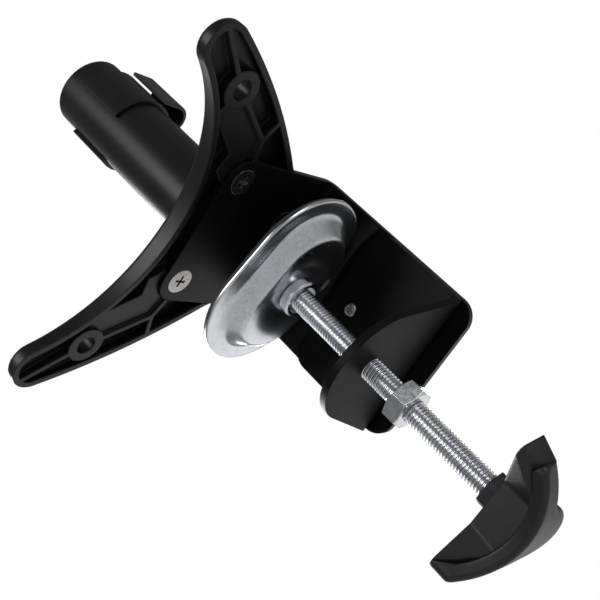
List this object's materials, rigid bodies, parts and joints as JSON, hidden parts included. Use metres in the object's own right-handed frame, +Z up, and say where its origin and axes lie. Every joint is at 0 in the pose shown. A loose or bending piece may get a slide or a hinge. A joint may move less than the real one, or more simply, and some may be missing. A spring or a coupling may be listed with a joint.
{
  "type": "desk clamp pole stand",
  "caption": "Desk-edge clamp foot with a crescent base, a round pole, a cable clip and a screw clamp with a swivelling pressure pad and wing handle.",
  "frame": {"origin": "on the pole's axis, in the plane of the foot's underside that rests on the desk top", "axes": "+Z up along the pole, -Y towards the open side of the clamp, +Y towards the back plate, X along the crescent"},
  "size_m": [0.168, 0.1231, 0.2952],
  "materials": {
    "foot_plastic": "satin moulded black",
    "clip_plastic": "satin moulded black",
    "handle_plastic": "fine textured black",
    "pole_paint": "satin black powder coat",
    "bracket_paint": "satin black powder coat",
    "zinc_steel": "bright zinc plate",
    "nickel_steel": "nickel plate",
    "spring_steel": "blackened steel",
    "brass": "turned brass",
    "pad_rubber": "matt black rubber sheet"
  },
  "bodies": {
    "stand": {"base_foot": "foot_plastic", "pole_tube": "pole_paint", "pole_end_plug": "clip_plastic", "pole_foot_plug": "zinc_steel", "pole_bolt": "spring_steel", "upper_bracket": "bracket_paint", "lower_bracket": "bracket_paint", "arm_weld_nut": "bracket_paint", "front_bracket_screws": "nickel_steel", "rear_bracket_screws": "nickel_steel", "screw_inserts": "brass", "flange_screw": "nickel_steel"},
    "cable_clip": {"cable_clip": "clip_plastic"},
    "lock_nut": {"lock_nut": "zinc_steel"},
    "swivel": {"swivel_bush": "zinc_steel", "bush_ring": "zinc_steel"},
    "pad": {"press_pad": "zinc_steel", "pad_facing": "pad_rubber"},
    "screw": {"clamp_screw": "zinc_steel", "spigot_circlip": "spring_steel", "handle_body": "handle_plastic", "handle_cap": "handle_plastic", "handle_nut": "zinc_steel"}
  },
  "joints": [
    {"name": "clip_slide", "type": "slide", "parent": "stand", "child": "cable_clip", "axis": [0, 0, 1], "range_m": [-0.061, 0.011]},
    {"name": "lock_nut_run", "type": "slide", "parent": "stand", "child": "lock_nut", "axis": [0, 0, 1], "range_m": [-0.012, 0.0164]},
    {"name": "pad_travel", "type": "slide", "parent": "stand", "child": "swivel", "axis": [0, 0, 1], "range_m": [-0.033, 0.02625]},
    {"name": "screw_turn", "type": "hinge", "parent": "swivel", "child": "screw", "pos_m": [0, 0.0024, -0.1], "axis": [0, 0, 1], "range_deg": [-7940, 6320]},
    {"name": "pad_swivel", "type": "hinge", "parent": "swivel", "child": "pad", "pos_m": [0, 0.0024, -0.038], "axis": [0, 0, 1], "range_deg": [-25, 0]}
  ],
  "couplings": [
    {"joint": "screw_turn", "follows": "pad_travel", "rad_per_m": 4188.8}
  ]
}
